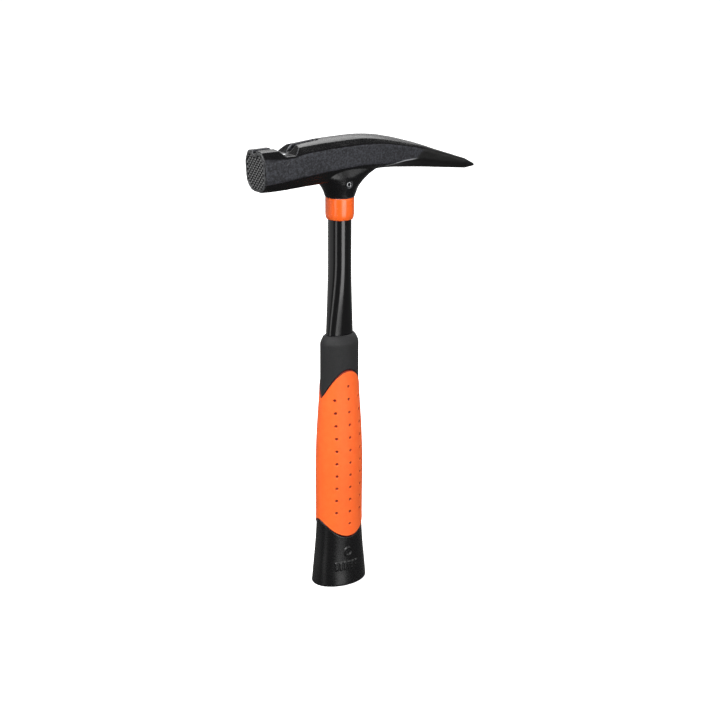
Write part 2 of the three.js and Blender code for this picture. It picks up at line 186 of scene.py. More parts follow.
def clamp01(t):
    return max(0.0, min(1.0, t))


def smoothstep(t):
    t = clamp01(t)
    return t * t * (3 - 2 * t)


def steps(start, stop, count):
    return [lerp(start, stop, i / count) for i in range(count + 1)]


def table_at(table, x):
    """Smooth interpolation of a table's columns at x, the same as the CAD part's."""
    if x <= table[0][0]:
        return list(table[0][1:])
    if x >= table[-1][0]:
        return list(table[-1][1:])
    i = max(n for n in range(len(table) - 1) if table[n][0] < x)
    here, there = table[i], table[i + 1]
    before, after = table[max(i - 1, 0)], table[min(i + 2, len(table) - 1)]
    span = there[0] - here[0]
    t = (x - here[0]) / span
    values = []
    for c in range(1, len(here)):
        m0 = span * (there[c] - before[c]) / (there[0] - before[0])
        m1 = span * (after[c] - here[c]) / (after[0] - here[0])
        values.append((2 * t**3 - 3 * t**2 + 1) * here[c] + (t**3 - 2 * t**2 + t) * m0
                      + (3 * t**2 - 2 * t**3) * there[c] + (t**3 - t**2) * m1)
    return values


def new_object(name, points, faces):
    """Mesh object from points in millimetres."""
    mesh = bpy.data.meshes.new(name)
    mesh.from_pydata([(x * MM, y * MM, z * MM) for x, y, z in points], [], faces)
    face_out(mesh)
    obj = bpy.data.objects.new(name, mesh)
    bpy.context.scene.collection.objects.link(obj)
    shade_smooth(obj)
    return obj


def face_out(mesh):
    """Turn every face of a closed mesh outwards."""
    work = bmesh.new()
    work.from_mesh(mesh)
    bmesh.ops.recalc_face_normals(work, faces=work.faces)
    work.to_mesh(mesh)
    work.free()


def shade_smooth(obj):
    obj.data.polygons.foreach_set("use_smooth", [True] * len(obj.data.polygons))
    obj.data.update()


def loft(name, rings):
    """Closed solid through rings of equal length, turning the same way as the CAD part's."""
    count = len(rings[0])
    points = [p for ring in rings for p in ring]
    faces = []
    for r in range(len(rings) - 1):
        for i in range(count):
            a, b = r * count + i, r * count + (i + 1) % count
            faces.append((a, b, b + count, a + count))
    last = (len(rings) - 1) * count
    faces.append(tuple(reversed(range(count))))
    faces.append(tuple(range(last, last + count)))
    return new_object(name, points, faces)


def sweep_round(name, outline, columns, closed):
    """Solid swept round Z. outline(angle) gives (half-width X, half-width Y, z) up the outside."""
    points, index_rows, axis_index = [], [], {}
    for i in range(columns):
        angle = 2 * math.pi * i / columns
        row = []
        for j, (rx, ry, z) in enumerate(outline(angle)):
            if rx == 0 and j in axis_index:
                row.append(axis_index[j])
                continue
            if rx == 0:
                axis_index[j] = len(points)
            row.append(len(points))
            points.append((rx * math.cos(angle), ry * math.sin(angle), z))
        index_rows.append(row)
    faces = []
    count = len(index_rows[0])
    for i in range(columns):
        here, there = index_rows[i], index_rows[(i + 1) % columns]
        for j in range(count if closed else count - 1):
            k = (j + 1) % count
            corners = (here[j], there[j], there[k], here[k])
            face = tuple(dict.fromkeys(corners))
            if len(face) > 2:
                faces.append(face)
    return new_object(name, points, faces)


def apply_modifiers(obj):
    """Replace the object's mesh by its modified one."""
    graph = bpy.context.evaluated_depsgraph_get()
    mesh = bpy.data.meshes.new_from_object(obj.evaluated_get(graph))
    obj.modifiers.clear()
    old = obj.data
    obj.data = mesh
    bpy.data.meshes.remove(old)
    shade_smooth(obj)


def combine(obj, tool, operation):
    """Boolean join or cut with another object, which is then removed."""
    modifier = obj.modifiers.new("combine", "BOOLEAN")
    modifier.object = tool
    modifier.operation = operation
    modifier.solver = "EXACT"
    apply_modifiers(obj)
    bpy.data.objects.remove(tool)


def remesh(obj, voxel, rounds):
    """Even quads of one size. Each round smooths, then swells back, so thin parts keep their size."""
    modifier = obj.modifiers.new("remesh", "REMESH")
    modifier.mode = "VOXEL"
    modifier.voxel_size = voxel * MM
    modifier.adaptivity = 0
    for factor in (0.5, -0.5) * rounds:
        smooth = obj.modifiers.new("smooth", "SMOOTH")
        smooth.factor = factor
        smooth.iterations = 1
    apply_modifiers(obj)


def refine(obj, inside, cuts):
    """Subdivide the faces whose centre, in millimetres, passes the test."""
    mesh = bmesh.new()
    mesh.from_mesh(obj.data)
    faces = [f for f in mesh.faces if inside(f.calc_center_median() / MM, f.normal)]
    edges = list({e for f in faces for e in f.edges})
    bmesh.ops.subdivide_edges(mesh, edges=edges, cuts=cuts, use_grid_fill=True)
    mesh.to_mesh(obj.data)
    mesh.free()
    shade_smooth(obj)


def move_vertices(obj, shift):
    """Move each vertex by shift(place, normal), both vectors in millimetres."""
    normals = [n.vector.copy() for n in obj.data.vertex_normals]
    for vertex, normal in zip(obj.data.vertices, normals):
        vertex.co += shift(vertex.co / MM, normal) * MM
    obj.data.update()


def paint(obj, name, value):
    """Store value(place, normal) as a number on each vertex, for the material to read."""
    layer = obj.data.attributes.new(name, "FLOAT", "POINT")
    normals = [n.vector.copy() for n in obj.data.vertex_normals]
    numbers = [value(v.co / MM, n) for v, n in zip(obj.data.vertices, normals)]
    layer.data.foreach_set("value", numbers)


def paint_edges(obj, name):
    """Store how sharply the surface bulges at each vertex, 0 on flats and in hollows."""
    mesh = obj.data
    places = np.empty(len(mesh.vertices) * 3)
    mesh.vertices.foreach_get("co", places)
    places = places.reshape(-1, 3)
    normals = np.empty(len(mesh.vertices) * 3, dtype=np.float32)
    mesh.vertex_normals.foreach_get("vector", normals)
    pairs = np.empty(len(mesh.edges) * 2, dtype=np.int32)
    mesh.edges.foreach_get("vertices", pairs)
    first, second = pairs.reshape(-1, 2).T
    total = np.zeros_like(places)
    count = np.zeros(len(places))
    for here, there in ((first, second), (second, first)):
        np.add.at(total, here, places[there])
        np.add.at(count, here, 1)
    stand_off = ((places - total / count[:, None]) * normals.reshape(-1, 3)).sum(1) / MM
    layer = mesh.attributes.new(name, "FLOAT", "POINT")
    layer.data.foreach_set("value", np.clip((stand_off - 0.012) / 0.04, 0, 1).astype(np.float32))


def cylinder(name, radius, start, end, segments=64):
    """Round bar between two points, in millimetres."""
    start, end = Vector(start), Vector(end)
    turn = (end - start).to_track_quat("Z", "Y").to_matrix()
    rings = []
    for point in (start, end):
        ring = []
        for i in range(segments):
            angle = 2 * math.pi * i / segments
            ring.append(point + turn @ Vector((radius * math.cos(angle), radius * math.sin(angle), 0)))
        rings.append([tuple(p) for p in ring])
    return loft(name, rings)


# ------------------------------------------------------------------ materials

def srgb(r, g, b):
    """Linear colour from 0-255 display values."""
    def linear(c):
        c /= 255
        return c / 12.92 if c <= 0.04045 else ((c + 0.055) / 1.055) ** 2.4
    return (linear(r), linear(g), linear(b), 1)


class Nodes:
    """A node material with short names for what these materials use."""

    def __init__(self, name, **shader_values):
        self.material = bpy.data.materials.new(name)
        self.material.use_nodes = True
        self.tree = self.material.node_tree
        self.shader = self.tree.nodes["Principled BSDF"]
        for socket, value in shader_values.items():
            self.shader.inputs[socket.replace("_", " ")].default_value = value
        self.place = self.node("ShaderNodeTexCoord").outputs["Object"]

    def node(self, kind, **settings):
        made = self.tree.nodes.new(kind)
        for key, value in settings.items():
            setattr(made, key, value)
        return made

    def link(self, source, target):
        self.tree.links.new(source, target)

    def stretched(self, scale):
        mapping = self.node("ShaderNodeMapping")
        mapping.inputs["Scale"].default_value = scale
        self.link(self.place, mapping.inputs["Vector"])
        return mapping.outputs["Vector"]

    def noise(self, size, detail=3, roughness=0.5, stretch=None):
        """Noise with features of about that size in millimetres."""
        made = self.node("ShaderNodeTexNoise")
        made.inputs["Scale"].default_value = 1 / (size * MM)
        made.inputs["Detail"].default_value = detail
        made.inputs["Roughness"].default_value = roughness
        self.link(self.stretched(stretch) if stretch else self.place, made.inputs["Vector"])
        return made.outputs["Fac"]

    def attribute(self, name):
        return self.node("ShaderNodeAttribute", attribute_name=name).outputs["Fac"]

    def ramp(self, source, low, high, out_low, out_high):
        made = self.node("ShaderNodeMapRange")
        for key, value in zip(("From Min", "From Max", "To Min", "To Max"),
                              (low, high, out_low, out_high)):
            made.inputs[key].default_value = value
        self.link(source, made.inputs["Value"])
        return made.outputs["Result"]

    def mix(self, factor, first, second, socket_type="RGBA"):
        """Blend two colours or numbers, each a socket or a constant."""
        made = self.node("ShaderNodeMix", data_type=socket_type)
        inputs = [s for s in made.inputs if s.type == ("RGBA" if socket_type == "RGBA" else "VALUE")]
        inputs = [s for s in inputs if s.name in ("A", "B")]
        factor_socket = next(s for s in made.inputs if s.name == "Factor" and s.type == "VALUE")
        self.link(factor, factor_socket)
        for socket, value in zip(inputs, (first, second)):
            if isinstance(value, bpy.types.NodeSocket):
                self.link(value, socket)
            else:
                socket.default_value = value
        return next(s for s in made.outputs if s.type == ("RGBA" if socket_type == "RGBA" else "VALUE"))

    def math(self, operation, first, second):
        made = self.node("ShaderNodeMath", operation=operation)
        for socket, value in zip(made.inputs, (first, second)):
            if isinstance(value, bpy.types.NodeSocket):
                self.link(value, socket)
            else:
                socket.default_value = value
        return made.outputs[0]

    def bump(self, layers):
        """Bumps stacked from (height socket, depth in millimetres) pairs."""
        normal = None
        for height, depth in layers:
            made = self.node("ShaderNodeBump")
            made.inputs["Distance"].default_value = depth * MM
            self.link(height, made.inputs["Height"])
            if normal:
                self.link(normal, made.inputs["Normal"])
            normal = made.outputs["Normal"]
        self.link(normal, self.shader.inputs["Normal"])

    def set(self, socket, source):
        self.link(source, self.shader.inputs[socket])


def head_lacquer():
    """Black lacquer: rough-finished side flats in a lighter grey that is partly painted light, smooth
    darker lacquer elsewhere, ground on the spike.
    """
    m = Nodes("head_lacquer", Specular_IOR_Level=0.35)
    ground, flat = m.attribute("ground"), m.attribute("flat")
    speckle = m.ramp(m.noise(1.3, 4, 0.65), 0.42, 0.60, 0, 1)
    # Lighter speckled grey on the side flats, near-black on the chamfers, top and neck: partly a rougher
    # finish, partly painted light, the flats lit and the rest in shade.
    blasted_and_lit = m.mix(speckle, srgb(18, 19, 22), srgb(55, 56, 62))
    smooth = m.mix(m.noise(4.0, 3), srgb(8, 8, 9), srgb(14, 14, 15))
    lacquer = m.mix(flat, smooth, blasted_and_lit)
    scratches = m.noise(0.7, 4, 0.6, stretch=(0.22, 2.0, 1.0))
    steel = m.mix(scratches, srgb(4, 4, 4), srgb(20, 19, 18))
    colour = m.mix(ground, lacquer, steel)
    # Painted shade: near-black in the waffle's hollows.
    colour = m.mix(m.attribute("hollow"), colour, srgb(6, 6, 6))
    # Painted highlight: lighter grey along the sharp convex edges.
    colour = m.mix(m.math("MULTIPLY", m.attribute("edge"), 0.35), colour, srgb(120, 121, 124))
    # Bright metal colour: wear on the waffle's crests, and a painted highlight along the facet's edge.
    m.set("Base Color", m.mix(m.attribute("wear_and_highlight"), colour, srgb(176, 178, 181)))
    satin = m.mix(flat, m.ramp(m.noise(2.2, 3), 0.3, 0.7, 0.24, 0.3), 0.52, "FLOAT")
    m.set("Roughness", m.mix(ground, satin, 0.34, "FLOAT"))
    pebbles = m.noise(2.0, 3, 0.55)
    grain = m.math("MULTIPLY", m.noise(0.9, 2, 0.5), m.math("ADD", flat, 0.3))
    m.bump([(pebbles, 0.05), (grain, 0.09), (scratches, 0.03)])
    return m.material


def tube_enamel():
    """Gloss black enamel with a faint orange-peel."""
    m = Nodes("tube_enamel", Specular_IOR_Level=0.5, Coat_Weight=0.3, Coat_Roughness=0.08)
    m.set("Base Color", m.mix(m.noise(12.0, 2), srgb(6, 6, 7), srgb(11, 11, 12)))
    m.set("Roughness", m.ramp(m.noise(4.0, 3), 0.3, 0.7, 0.14, 0.2))
    m.bump([(m.noise(1.6, 2), 0.012)])
    return m.material


def bright_steel(name, low, high):
    m = Nodes(name, Metallic=1.0)
    m.set("Base Color", m.mix(m.noise(0.8, 3), srgb(*low), srgb(*high)))
    m.set("Roughness", m.ramp(m.noise(0.5, 2), 0.3, 0.7, 0.2, 0.34))
    m.bump([(m.noise(0.3, 2), 0.01)])
    return m.material


def collar_plastic():
    """Glossy moulded orange plastic."""
    m = Nodes("collar_plastic", Specular_IOR_Level=0.7, Subsurface_Weight=0.05)
    m.shader.inputs["Subsurface Radius"].default_value = (0.002, 0.0008, 0.0003)
    m.set("Base Color", m.mix(m.noise(5.0, 2), srgb(253, 98, 26), srgb(255, 108, 34)))
    m.set("Roughness", m.ramp(m.noise(1.5, 2), 0.3, 0.7, 0.2, 0.28))
    m.bump([(m.noise(0.9, 2), 0.005)])
    return m.material


def orange_rubber():
    """Soft matt orange elastomer with a fine grain, and painted shade in the dimples and along its
    seams.
    """
    m = Nodes("orange_rubber", Specular_IOR_Level=0.35, Sheen_Weight=0.04, Sheen_Roughness=0.5)
    skin = m.mix(m.noise(4.0, 4), srgb(253, 99, 34), srgb(255, 112, 44))
    # Painted shade: dark red-brown in the dimples and along the seams.
    m.set("Base Color", m.mix(m.attribute("shade"), skin, srgb(112, 22, 4)))
    m.set("Roughness", m.ramp(m.noise(0.8, 3), 0.3, 0.7, 0.5, 0.62))
    m.bump([(m.noise(0.35, 2), 0.03), (m.noise(1.6, 3), 0.02)])
    return m.material


def black_rubber():
    """Matt dark elastomer with a sandblasted mould grain."""
    m = Nodes("black_rubber", Specular_IOR_Level=0.45, Sheen_Weight=0.02, Sheen_Roughness=0.6)
    m.set("Base Color", m.mix(m.noise(3.0, 4), srgb(20, 20, 21), srgb(29, 29, 30)))
    m.set("Roughness", m.ramp(m.noise(0.7, 3), 0.3, 0.7, 0.62, 0.76))
    m.bump([(m.noise(0.3, 2), 0.04), (m.noise(1.2, 2), 0.02)])
    return m.material


def hard_plastic():
    """Semi-gloss black moulded plastic."""
    m = Nodes("hard_plastic", Specular_IOR_Level=0.6)
    m.set("Base Color", m.mix(m.noise(5.0, 3), srgb(3, 3, 4), srgb(6, 6, 7)))
    m.set("Roughness", m.ramp(m.noise(1.0, 3), 0.3, 0.7, 0.25, 0.31))
    m.bump([(m.noise(0.45, 2), 0.005), (m.noise(6.0, 2), 0.04)])
    return m.material


def inner_plastic():
    m = Nodes("inner_plastic")
    m.set("Base Color", m.mix(m.noise(3.0, 3), srgb(128, 130, 132), srgb(146, 147, 149)))
    m.set("Roughness", m.ramp(m.noise(1.0, 3), 0.3, 0.7, 0.45, 0.6))
    m.bump([(m.noise(0.6, 2), 0.02)])
    return m.material


# ------------------------------------------------------------------ forged head

def eased_corner(before, corner, after, radius):
    """Three points that take the tip off a corner."""
    before, corner, after = Vector(before), Vector(corner), Vector(after)
    start, end = before - corner, after - corner
    start = corner + start.normalized() * min(radius, 0.4 * start.length)
    end = corner + end.normalized() * min(radius, 0.4 * end.length)
    return [tuple(start), tuple(start * 0.25 + corner * 0.5 + end * 0.25), tuple(end)]


def head_section(row, inset=0, radius=CORNER_ROUND):
    """Points (y, z) round one head section: over the crown from +Y to -Y, then down and under."""
    ridge, crown, top_half, side, upper, lower, under_half, under = row
    top_half -= inset * 0.5
    ys = [top_half * math.cos(math.pi * i / CROWN_STEPS) for i in range(CROWN_STEPS + 1)]
    over = [(y, ridge - inset - crown * (y / top_half) ** 2) for y in ys]
    corners = [(-side + inset, upper - inset * 0.4), (-side + inset, lower + inset * 0.4),
               (-under_half + inset * 0.5, under + inset)]
    corners += [(-y, z) for y, z in reversed(corners)]
    chain = [over[-1]] + corners + [over[0]]
    around = []
    for before, corner, after in zip(chain, chain[1:], chain[2:]):
        around += eased_corner(before, corner, after, radius)
    return over + around


def corner_round(x):
    """Edge rounding grows towards the striking face."""
    return lerp(FACE_CORNER_ROUND, CORNER_ROUND, smoothstep((x - FACE_TOP[0]) / 18))


def face_x(z):
    """x of the striking face's plane at a height."""
    return FACE_TOP[0] + (FACE_TOP[1] - z) * math.tan(FACE_LEAN)


def head_body():
    face_row = HEAD_SECTIONS[0][1:]
    rings = []
    for i in range(5):
        turn = math.pi / 2 * i / 4
        inset = FACE_BEVEL * (1 - math.sin(turn))
        back = FACE_BEVEL * (1 - math.cos(turn))
        section = head_section(face_row, inset, FACE_CORNER_ROUND)
        rings.append([(face_x(z) + back, y, z) for y, z in section])
    for x in steps(HEAD_SECTIONS[0][0], HEAD_SECTIONS[-1][0], 90):
        section = head_section(table_at(HEAD_SECTIONS, x), 0, corner_round(x))
        rings.append([(x, y, z) for y, z in section])
    tip_row = HEAD_SECTIONS[-1][1:]
    middle = (tip_row[0] + tip_row[7]) / 2
    shrink = SPIKE_TIP["half"] / tip_row[3]
    rings.append([(SPIKE_TIP["x"], y * shrink, SPIKE_TIP["z"] + (z - middle) * shrink)
                  for y, z in head_section(tip_row)])
    return loft("forged_head", rings)


def head_neck():
    rings = []
    for z in steps(NECK_SECTIONS[0][0], NECK_SECTIONS[-1][0], 30):
        back, front, half = table_at(NECK_SECTIONS, z)
        ring = []
        for i in range(96):
            angle = 2 * math.pi * i / 96
            reach = front if math.cos(angle) > 0 else back
            ring.append((reach * math.cos(angle), half * math.sin(angle), z))
        rings.append(ring)
    return loft("neck", rings)


def trough(name, stations, half, top):
    """Cutter along X with a round floor: stations of (x, floor height)."""
    rings = []
    for x, floor in stations:
        ring = [(x, half, top), (x, -half, top)]
        for i in range(9):
            angle = math.pi * i / 8
            ring.append((x, -half * math.cos(angle), floor + half * (1 - math.sin(angle))))
        rings.append(ring)
    return loft(name, rings)


def notch_cutter():
    slope = (NOTCH["top"] - NOTCH["floor"]) / (NOTCH["rear"][1] - NOTCH["rear"][0])
    top = NOTCH["top"] + 3
    outline = [(NOTCH["front"][0], top), (NOTCH["front"][0], NOTCH["top"]),
               (NOTCH["front"][1], NOTCH["floor"]), (NOTCH["rear"][0], NOTCH["floor"]),
               (NOTCH["rear"][1] + (top - NOTCH["top"]) / slope, top)]
    return loft("notch", [[(x, y, z) for x, z in outline] for y in (-20, 20)])


def head_cutters():
    groove = trough("groove", [(FACE_TOP[0] - 3, GROOVE["floor"]), (NOTCH["front"][1], GROOVE["floor"])],
                    GROOVE["half"], NOTCH["top"] + 3)
    start, end = SLOT["run"]
    low, high = SLOT["floor"]
    slot_line = [(start, low), (start + 9, low + 0.6), (end - 4, low + 3.6), (end, high)]
    slot = trough("slot", slot_line, SLOT["half"], NOTCH["top"] + 6)
    pocket = cylinder("pocket", MAGNET["r"] + 0.45, (MAGNET["x"], 0, NOTCH["floor"] - MAGNET["height"]),
                      (MAGNET["x"], 0, NOTCH["floor"] + 1))
    socket = cylinder("socket", SOCKET_R, (0, 0, SOCKET_Z[0] - 5), (0, 0, SOCKET_Z[1]))
    pin_hole = cylinder("pin_hole", PIN_R + 0.2, (0, -30, PIN_Z), (0, 30, PIN_Z))
    return [groove, notch_cutter(), slot, pocket, socket, pin_hole]


def face_edge_distance(y, z):
    """How far a point of the striking face lies inside the face's outline."""
    ridge, crown, top_half, side, upper, lower, under_half, under = HEAD_SECTIONS[0][1:]
    y = abs(y)

    def inside(y0, z0, y1, z1):
        length = math.hypot(y1 - y0, z1 - z0)
        return ((y1 - y0) * (z - z0) - (z1 - z0) * (y - y0)) / length

    return min(
        ridge - crown - z,
        inside(side, upper, top_half, ridge - crown),
        side - y,
        inside(under_half, under, side, lower),
        z - under,
    )


def waffle_depth(y, z):
    """Depth of the waffle's diagonal V grooves at a point of the striking face."""
    def valley(distance):
        share = abs((distance / WAFFLE["pitch"]) % 1 - 0.5) * 2
        return smoothstep((share - 0.3) / 0.7)

    field = smoothstep((face_edge_distance(y, z) - WAFFLE["margin"] - FACE_BEVEL) / 0.4)
    groove_clear = max(abs(y) - GROOVE["half"] - 1.0, GROOVE["floor"] - 1.2 - z)
    field *= smoothstep(groove_clear / 0.4)
    across = (y + z - FACE_CENTRE_Z) / math.sqrt(2)
    along = (y - z + FACE_CENTRE_Z) / math.sqrt(2)
    return WAFFLE["depth"] * field * max(valley(across), valley(along))


def facet_line_z(x):
    """Height of the edge between the spike's side and its ground lower facet."""
    start, run = FACET["bend"]
    return lerp(*FACET["z"], smoothstep((x - start) / run))


FACE_NORMAL = Vector((-math.cos(FACE_LEAN), 0, -math.sin(FACE_LEAN)))


def on_face(place, normal):
    return place.x < face_x(place.z) + 0.2 and normal.dot(FACE_NORMAL) > 0.9


def head_skin(place, normal):
    """Waffle on the striking face, and forging bumps and one dent elsewhere."""
    if on_face(place, normal):
        return -FACE_NORMAL * waffle_depth(place.y, place.z)
    rough = HEAD_SWELL
    for size, height in FORGED_BUMPS:
        rough += noise.noise(place / size) * height
    if place.y < -10:
        reach = math.hypot((place.x - DENT["x"]) * 0.7, place.z - DENT["z"]) / DENT["r"]
        rough -= DENT["depth"] * smoothstep(1.3 - reach)
    return normal * rough


def ground_share(place, normal):
    """1 where the spike is ground bare: its tip and its lower facet."""
    up = (place.z - GROUND["low_z"]) / GROUND["rise"]
    edge = lerp(GROUND["x"] - GROUND["slant"], GROUND["x"], up) + 2.0 * noise.noise(place / 4.0)
    tip = smoothstep((place.x - edge) / GROUND["fade"])
    below = smoothstep((facet_line_z(place.x) - place.z) / 0.5)
    return max(tip, below * smoothstep((place.x - FACET["start_x"]) / 3))


def flat_share(place, normal):
    """1 on the rough side flats, which get a lighter grey as painted light, 0 on the smoother, darker
    chamfers, top and neck.
    """
    lower_edge = table_at(HEAD_SECTIONS, place.x)[5]
    above = smoothstep((place.z - lower_edge + 0.6) / 0.8)
    return smoothstep((abs(normal.y) - 0.86) / 0.1) * above


# Painted shade for the waffle's hollows, darkest at the bottom of the grooves.
def painted_hollow_shade(place, normal):
    if not on_face(place, normal):
        return 0.0
    return smoothstep(waffle_depth(place.y, place.z) / WAFFLE["depth"])


def wear_and_highlight_share(place, normal):
    """Bright metal colour: wear on the waffle's crests, and a painted highlight along the facet's edge.
    """
    if on_face(place, normal):
        depth = waffle_depth(place.y, place.z) / WAFFLE["depth"]
        return 0.14 * smoothstep(1 - 2.0 * depth) * (0.6 + 0.8 * noise.noise(place / 2.0))
    if abs(place.y) <= 4:
        return 0.0
    near_line = 1 - abs(place.z - facet_line_z(place.x)) / 0.5
    end, fade = FACET["line_end"]
    stretch = smoothstep((place.x - FACET["start_x"]) / 3) * (1 - smoothstep((place.x - end) / fade))
    return 0.8 * smoothstep(near_line * 1.3) * stretch


def forged_head():
    head = head_body()
    combine(head, head_neck(), "UNION")
    for cutter in head_cutters():
        combine(head, cutter, "DIFFERENCE")
    remesh(head, VOXEL, 5)
    refine(head, on_face, 2)
    move_vertices(head, head_skin)
    paint(head, "ground", ground_share)
    paint(head, "flat", flat_share)
    paint(head, "hollow", painted_hollow_shade)
    paint(head, "wear_and_highlight", wear_and_highlight_share)
    # Mask for the painted highlight on convex edges.
    paint_edges(head, "edge")
    return head


# ------------------------------------------------------------------ small steel pieces

def magnet_disc():
    top = NOTCH["floor"] + HEAD_SWELL
    bottom = NOTCH["floor"] - MAGNET["height"]
    outline = [(0, bottom), (MAGNET["r"], bottom), (MAGNET["r"], top - 0.35),
               (MAGNET["r"] - 0.1, top - 0.1), (MAGNET["r"] - 0.35, top), (0, top)]
    disc = sweep_round("magnet_disc", lambda angle: [(r, r, z) for r, z in outline], 64, False)
    move_vertices(disc, lambda place, normal: Vector((MAGNET["x"], 0, 0)))
    return disc


def spring_pin():
    """Rolled steel pin across the neck, with its slit underneath and chamfered ends."""
    half_slit = math.asin(PIN_SLIT / 2 / PIN_R)
    angles = steps(-math.pi / 2 + half_slit, 1.5 * math.pi - half_slit, 48)
    half = PIN_LENGTH / 2
    ends = [(half - 0.35, 0), (half - 0.1, 0.12), (half, 0.4)]
    stations = [(-y, cut) for y, cut in reversed(ends)] + ends
    rings = []
    for y, cut in stations:
        outer = [((PIN_R - cut) * math.cos(a), (PIN_R - cut) * math.sin(a)) for a in angles]
        inner = [(PIN_BORE_R * math.cos(a), PIN_BORE_R * math.sin(a)) for a in reversed(angles)]
        rings.append([(x, y, PIN_Z + z) for x, z in outer + inner])
    return loft("spring_pin", rings[::-1])


# ------------------------------------------------------------------ collar and tube

def collar():
    bottom, top = COLLAR_Z
    turn_in, rise = COLLAR_ROUND
    inner = TUBE_R + 0.1
    outline = []
    for i in range(13):
        t = math.pi / 2 * i / 12
        outline.append((COLLAR_R - turn_in * (1 - math.sin(t)), bottom + rise * (1 - math.cos(t))))
    outline += [(COLLAR_R, z) for z in steps(bottom + rise + 1, top - 0.5, 8)]
    outline += [(COLLAR_R - 0.1, top - 0.15), (COLLAR_R - 0.4, top)]
    outline += [(inner + 0.2, top), (inner, top - 0.2)]
    outline += [(inner, z) for z in steps(top - 1, bottom + 0.3, 6)]
    outline += [(inner + 0.1, bottom + 0.08), (inner + 0.25, bottom)]
    return sweep_round("collar", lambda angle: [(r, r, z) for r, z in outline], 128, True)


def tube_section(z):
    """Half-widths of the steel tube's outside."""
    oval = 1 - smoothstep((z - TUBE_OVAL_Z) / (TUBE_ROUND_Z - TUBE_OVAL_Z))
    swage = smoothstep((z - SWAGE_Z[0]) / (SWAGE_Z[1] - SWAGE_Z[0]))
    round_r = lerp(TUBE_R, TUBE_NECK_R, swage)
    return lerp(round_r, TUBE_OVAL[0], oval), lerp(round_r, TUBE_OVAL[1], oval)


def steel_tube():
    heights = [TUBE_Z[0], 60, 120] + steps(TUBE_OVAL_Z - 6, TUBE_ROUND_Z + 4, 30)
    heights += steps(TUBE_ROUND_Z + 8, SWAGE_Z[0], 4)
    heights += steps(SWAGE_Z[0] + 1, SWAGE_Z[1], 6) + [TUBE_Z[1]]
    outside = [(*tube_section(z), z) for z in heights]
    inside = [(rx - TUBE_WALL, ry - TUBE_WALL, z) for rx, ry, z in reversed(outside)]
    return sweep_round("steel_tube", lambda angle: outside + inside, 128, True)


# ------------------------------------------------------------------ grip

def grip_section(z, inset=0.0):
    rx, ry = table_at(GRIP_SECTIONS, z)
    return rx - inset, ry - inset, z


def inlay_end(end, angle):
    """Height of an end of the orange zone: sides at +-90 degrees, edges at 0 and 180."""
    return end["edge"] + (end["side"] - end["edge"]) * abs(math.sin(angle)) ** end["power"]


def rounded_in(distance, radius):
    """How far a rounded edge stands back, at a distance from its end."""
    if distance >= radius:
        return 0.0
    return radius - math.sqrt(radius**2 - (radius - distance) ** 2)


def eased(count):
    """Shares from 0 to 1 with closer steps near both ends."""
    return [(1 - math.cos(math.pi * i / count)) / 2 for i in range(count + 1)]


def dimple_places():
    """Dimples in three columns on each flat side: (x, z, side of Y)."""
    places = []
    for i in range(DIMPLE["rows"]):
        z = DIMPLE["first_z"] - i * DIMPLE["pitch"]
        columns = [0.0] if i in (0, DIMPLE["rows"] - 1) else [-DIMPLE["side_x"], 0.0, DIMPLE["side_x"]]
        places += [(x, z, side) for x in columns for side in (-1, 1)]
    return places


def nearest_dimple(place, places):
    """Distance across the surface to the nearest dimple's centre."""
    best = 9.0
    for x, z, side in places:
        if place.y * side > 0 and abs(place.z - z) < 3 and abs(place.x - x) < 3:
            best = min(best, math.hypot(place.x - x, place.z - z))
    return best


def orange_zone():
    def outline(angle):
        low = inlay_end(INLAY_BOTTOM, angle) + SEAM / 2
        high = inlay_end(INLAY_TOP, angle) - SEAM / 2
        points = []
        for share in eased(150):
            z = lerp(low, high, share)
            inset = rounded_in(min(z - low, high - z), INLAY_EDGE) - INLAY_RISE
            points.append(grip_section(z, inset))
        points += [grip_section(z, SKIN_INNER) for z in steps(high, low, 12)]
        return points

    zone = sweep_round("orange_zone", outline, GRIP_COLUMNS, True)
    places = dimple_places()

    def near_dimple(place, normal):
        outer = abs(normal.y) > 0.2 and normal.y * place.y > 0
        return outer and nearest_dimple(place, places) < DIMPLE["r"] + 0.7

    refine(zone, near_dimple, 3)

    def pit(place, normal):
        if normal.y * place.y < 0:
            return 0.0
        reach = nearest_dimple(place, places) / DIMPLE["r"]
        return smoothstep((1.25 - reach) / 0.6)

    def shade(place, normal):
        """Painted shade: 1 in the dimples and along the thin seams at both ends of the zone."""
        rx, ry = table_at(GRIP_SECTIONS, place.z)
        angle = math.atan2(place.y / ry, place.x / rx)
        from_end = min(place.z - inlay_end(INLAY_BOTTOM, angle), inlay_end(INLAY_TOP, angle) - place.z)
        return max(pit(place, normal), smoothstep((SEAM_SHADE - from_end) / 0.4))

    paint(zone, "shade", shade)
    move_vertices(zone, lambda place, normal: -normal * DIMPLE["depth"] * pit(place, normal))
    return zone


def black_top():
    tube_x, tube_y = tube_section(GRIP_TOP_Z)

    def outline(angle):
        low = inlay_end(INLAY_TOP, angle) + SEAM / 2
        high = CORE_TOP_Z
        points = []
        for share in eased(50):
            z = lerp(low, high, share)
            points.append(grip_section(z, rounded_in(z - low, BLACK_EDGE)))
        points += [grip_section(GRIP_TOP_Z - drop, inset) for inset, drop in reversed(RIM_EDGE)]
        points.append((tube_x + RIM_LAND + 0.25, tube_y + RIM_LAND + 0.25, GRIP_TOP_Z - 0.12))
        points.append((tube_x + RIM_LAND, tube_y + RIM_LAND, GRIP_TOP_Z))
        points.append((tube_x + 0.35, tube_y + 0.35, GRIP_TOP_Z - 0.05))
        points += [(tube_x + 0.15, tube_y + 0.15, z) for z in (GRIP_TOP_Z - 0.4, high + 0.3)]
        points += [grip_section(z, SKIN_INNER) for z in steps(high + 0.3, low, 8)]
        return points

    return sweep_round("black_top", outline, GRIP_COLUMNS, True)


